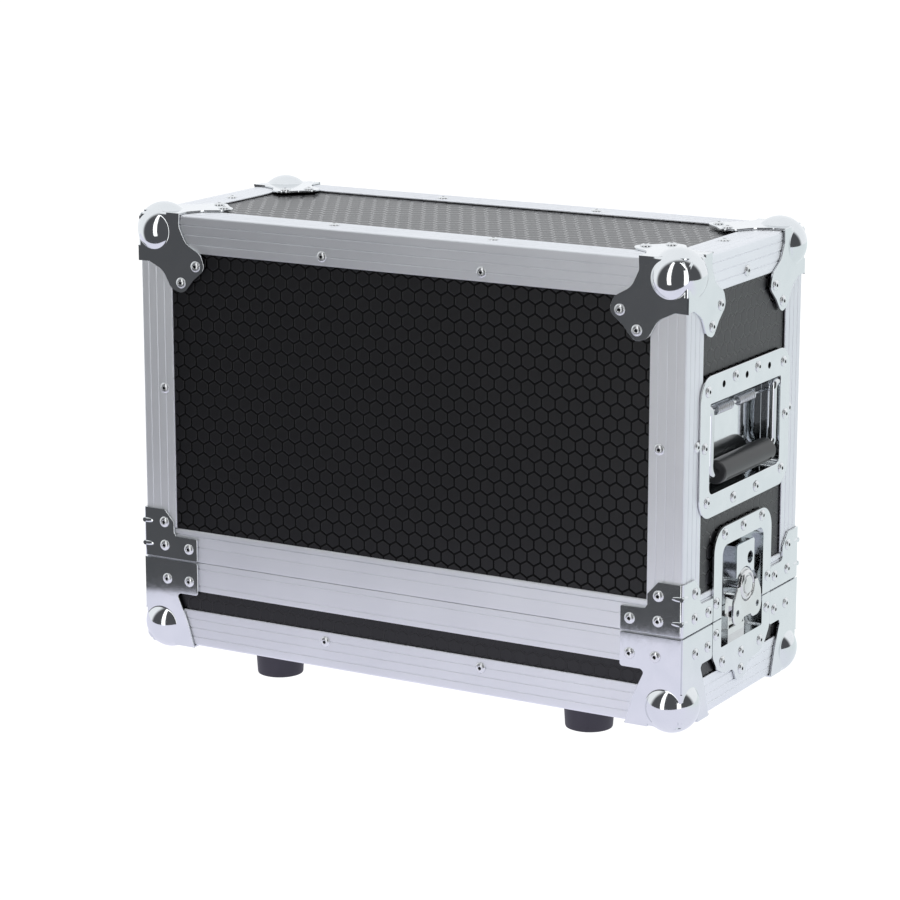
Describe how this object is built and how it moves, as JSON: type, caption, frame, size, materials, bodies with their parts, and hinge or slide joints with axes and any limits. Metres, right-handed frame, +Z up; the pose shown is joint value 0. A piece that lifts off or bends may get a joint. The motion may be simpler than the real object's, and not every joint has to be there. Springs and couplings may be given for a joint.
{
  "type": "flight case",
  "caption": "Hard flight case: shallow base tray and tall lift-off lid, with ball corners, recessed end handles and butterfly latches.",
  "frame": {"origin": "centre of the footprint, on the surface the feet stand on", "axes": "+X along the length towards one end handle, +Y from the front face to the back, +Z up"},
  "size_m": [0.5078, 0.2238, 0.3925],
  "materials": {
    "aluminium": "satin anodised extrusion",
    "zinc_steel": "bright zinc plate on pressed steel",
    "laminate": "plywood faced with black hexagon-pattern laminate",
    "rubber": "matt black moulded rubber",
    "grip_plastic": "satin black moulded grip"
  },
  "bodies": {
    "base": {"base_corner_back_left": "zinc_steel", "base_corner_back_right": "zinc_steel", "base_corner_front_left": "zinc_steel", "base_corner_front_right": "zinc_steel", "base_edge_back": "aluminium", "base_edge_front": "aluminium", "base_edge_left": "aluminium", "base_edge_right": "aluminium", "base_floor_panel": "laminate", "base_rim_back": "aluminium", "base_rim_front": "aluminium", "base_wall_back": "laminate", "base_wall_front": "laminate", "base_wall_left": "laminate", "base_wall_right": "laminate", "foot_back_left": "rubber", "foot_back_right": "rubber", "foot_front_left": "rubber", "foot_front_right": "rubber", "latch_keeper_left": "zinc_steel", "latch_keeper_right": "zinc_steel"},
    "lid": {"handle_dish_left": "zinc_steel", "handle_dish_right": "zinc_steel", "latch_dish_left": "zinc_steel", "latch_dish_right": "zinc_steel", "lid_brace_back_left": "zinc_steel", "lid_brace_back_right": "zinc_steel", "lid_brace_front_left": "zinc_steel", "lid_brace_front_right": "zinc_steel", "lid_corner_back_left": "zinc_steel", "lid_corner_back_right": "zinc_steel", "lid_corner_front_left": "zinc_steel", "lid_corner_front_right": "zinc_steel", "lid_edge_back": "aluminium", "lid_edge_front": "aluminium", "lid_edge_left": "aluminium", "lid_edge_right": "aluminium", "lid_panel_back": "laminate", "lid_panel_front": "laminate", "lid_panel_left": "laminate", "lid_panel_right": "laminate", "lid_post_back_left": "aluminium", "lid_post_back_right": "aluminium", "lid_post_front_left": "aluminium", "lid_post_front_right": "aluminium", "lid_rim_back": "aluminium", "lid_rim_front": "aluminium", "lid_top_panel": "laminate"},
    "handle_right": {"handle_bail_right": "zinc_steel", "handle_grip_right": "grip_plastic"},
    "latch_drum_right": {"latch_drum_right": "zinc_steel"},
    "latch_wing_right": {"latch_wing_right": "zinc_steel"},
    "latch_hook_right": {"latch_hook_right": "zinc_steel"},
    "handle_left": {"handle_bail_left": "zinc_steel", "handle_grip_left": "grip_plastic"},
    "latch_drum_left": {"latch_drum_left": "zinc_steel"},
    "latch_wing_left": {"latch_wing_left": "zinc_steel"},
    "latch_hook_left": {"latch_hook_left": "zinc_steel"}
  },
  "joints": [
    {"name": "lid_lift", "type": "slide", "parent": "base", "child": "lid", "axis": [0, 0, 1], "range_m": [0, 0.35]},
    {"name": "handle_right_fold", "type": "hinge", "parent": "lid", "child": "handle_right", "pos_m": [0.2435, 0, 0.2655], "axis": [0, -1, 0], "range_deg": [0, 90], "stiffness_Nm_per_rad": 0.15},
    {"name": "latch_right_turn", "type": "hinge", "parent": "lid", "child": "latch_drum_right", "pos_m": [0.246, 0, 0.116], "axis": [1, 0, 0], "range_deg": [0, 180]},
    {"name": "latch_right_hook", "type": "hinge", "parent": "latch_drum_right", "child": "latch_hook_right", "pos_m": [0.246, 0, 0.119], "axis": [1, 0, 0], "range_deg": [-180, 0]},
    {"name": "latch_right_wing", "type": "hinge", "parent": "latch_drum_right", "child": "latch_wing_right", "pos_m": [0.2515, 0, 0.116], "axis": [0, -1, 0], "range_deg": [0, 90]},
    {"name": "handle_left_fold", "type": "hinge", "parent": "lid", "child": "handle_left", "pos_m": [-0.2435, 0, 0.2655], "axis": [0, 1, 0], "range_deg": [0, 90], "stiffness_Nm_per_rad": 0.15},
    {"name": "latch_left_turn", "type": "hinge", "parent": "lid", "child": "latch_drum_left", "pos_m": [-0.246, 0, 0.116], "axis": [-1, 0, 0], "range_deg": [0, 180]},
    {"name": "latch_left_hook", "type": "hinge", "parent": "latch_drum_left", "child": "latch_hook_left", "pos_m": [-0.246, 0, 0.119], "axis": [-1, 0, 0], "range_deg": [-180, 0]},
    {"name": "latch_left_wing", "type": "hinge", "parent": "latch_drum_left", "child": "latch_wing_left", "pos_m": [-0.2515, 0, 0.116], "axis": [0, 1, 0], "range_deg": [0, 90]}
  ],
  "couplings": [
    {"joint": "latch_right_hook", "follows": "latch_right_turn", "ratio": -1},
    {"joint": "latch_left_hook", "follows": "latch_left_turn", "ratio": -1}
  ]
}
